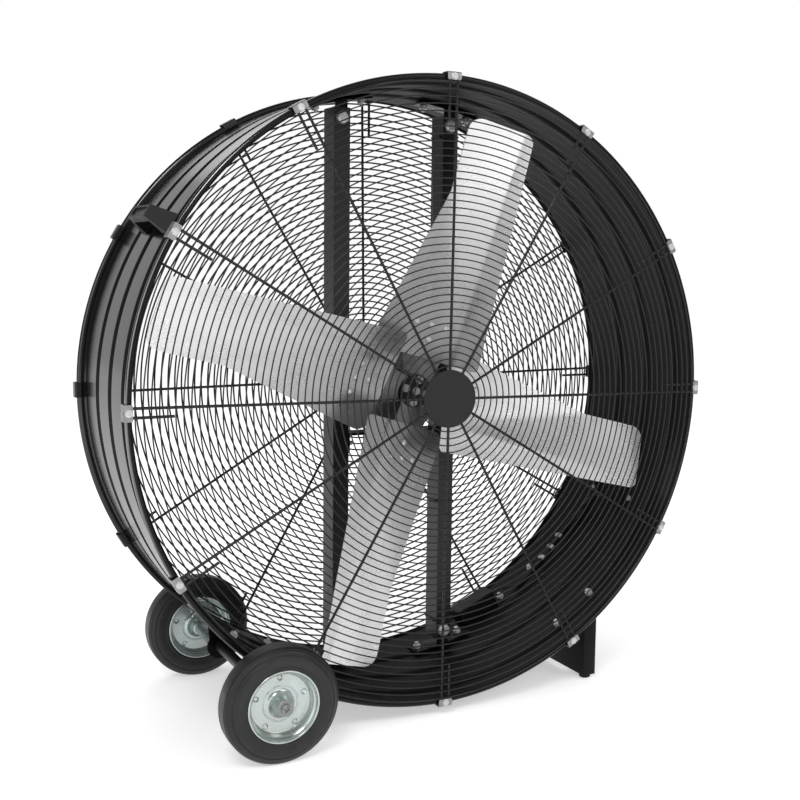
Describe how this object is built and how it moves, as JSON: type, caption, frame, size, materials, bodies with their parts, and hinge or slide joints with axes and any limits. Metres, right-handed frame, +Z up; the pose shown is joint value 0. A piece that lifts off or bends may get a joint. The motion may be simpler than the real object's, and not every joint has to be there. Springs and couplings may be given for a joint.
{
  "type": "drum fan",
  "caption": "Mobile drum fan: a wide grooved drum between wire guards, broad blades on a central motor, rubber-tyred wheels, a sheet-metal foot, a carry handle and a side switch box.",
  "frame": {"origin": "on the floor under the middle of the drum: the centre of the bounding box's bottom face in Y, and the drum's centre line in X", "axes": "+Z up; the fan axis runs along Y and the air leaves at the front, towards -Y; +X is the right-hand side seen from the front, with the foot, and the wheels are on the -X side"},
  "size_m": [1.151, 0.552, 1.1635],
  "materials": {
    "black_paint": "satin black powder coat",
    "wire_paint": "semi-gloss black powder coat on wire",
    "cap_paint": "dark grey powder coat, fine texture",
    "galvanised": "bright galvanised sheet",
    "zinc": "bright zinc plate",
    "rim_zinc": "blue-white zinc plate, pressed steel",
    "blade_aluminium": "satin mill-finish sheet",
    "tyre_rubber": "matt solid rubber",
    "foot_rubber": "matt",
    "moulded_black": "fine-textured moulding",
    "cable_sheath": "smooth sheath",
    "earth_sheath": "green and yellow sheath",
    "tie_nylon": "natural nylon",
    "axle_steel": "bare drawn steel",
    "cast_alloy": "black painted casting",
    "lamination": "stacked electrical sheet",
    "copper": "varnished copper wire"
  },
  "bodies": {
    "frame": {"axle_brackets": "black_paint", "axle_collars": "zinc", "axle_end_bolts": "zinc", "cable_clips": "zinc", "cable_ties": "tie_nylon", "capacitor_box": "moulded_black", "carry_handle": "moulded_black", "clip_screws": "zinc", "drum": "black_paint", "drum_bolts": "zinc", "drum_nuts": "zinc", "drum_screws": "zinc", "earth_lead": "earth_sheath", "foot": "black_paint", "front_guard": "wire_paint", "front_guard_cap": "cap_paint", "front_guard_clamps": "zinc", "guard_clamp_screws": "zinc", "inlet_gland": "moulded_black", "lead_grommets": "foot_rubber", "left_post": "black_paint", "motor_bearings": "zinc", "motor_front_cover": "cast_alloy", "motor_leads": "cable_sheath", "motor_rails": "black_paint", "motor_rear_cover": "cast_alloy", "motor_shell": "cast_alloy", "post_bolts": "zinc", "post_brackets": "black_paint", "post_nuts": "zinc", "rail_bolts": "zinc", "rail_nuts": "zinc", "rear_guard": "wire_paint", "rear_guard_cap": "cap_paint", "rear_guard_clamps": "black_paint", "right_post": "black_paint", "rotary_switch": "moulded_black", "rubber_feet": "foot_rubber", "rubber_foot_bolts": "zinc", "stator_core": "lamination", "stator_windings": "copper", "switch_box": "moulded_black", "switch_box_lid": "moulded_black", "switch_lid_screws": "zinc", "wheel_axle": "axle_steel", "wheel_spacers": "axle_steel"},
    "rotor": {"motor_shaft": "axle_steel", "rotor_core": "lamination", "fan_hub": "galvanised", "hub_bolts": "zinc", "blade_1": "blade_aluminium", "blade_2": "blade_aluminium", "blade_3": "blade_aluminium", "blade_4": "blade_aluminium", "blade_rivets": "zinc"},
    "front_wheel": {"front_tyre": "tyre_rubber", "front_wheel_rim": "rim_zinc"},
    "rear_wheel": {"rear_tyre": "tyre_rubber", "rear_wheel_rim": "rim_zinc"},
    "knob": {"speed_knob": "moulded_black"}
  },
  "joints": [
    {"name": "fan_spin", "type": "hinge", "parent": "frame", "child": "rotor", "pos_m": [0, 0, 0.588], "axis": [0, -1, 0], "continuous": true},
    {"name": "front_wheel_spin", "type": "hinge", "parent": "frame", "child": "front_wheel", "pos_m": [-0.338, -0.239, 0.1], "axis": [0, 1, 0], "continuous": true},
    {"name": "rear_wheel_spin", "type": "hinge", "parent": "frame", "child": "rear_wheel", "pos_m": [-0.338, 0.239, 0.1], "axis": [0, 1, 0], "continuous": true},
    {"name": "speed_knob_turn", "type": "hinge", "parent": "frame", "child": "knob", "pos_m": [0.54105, -0.003, 0.32177], "axis": [0.8973, 0, -0.4415], "range_deg": [-60, 60]}
  ]
}
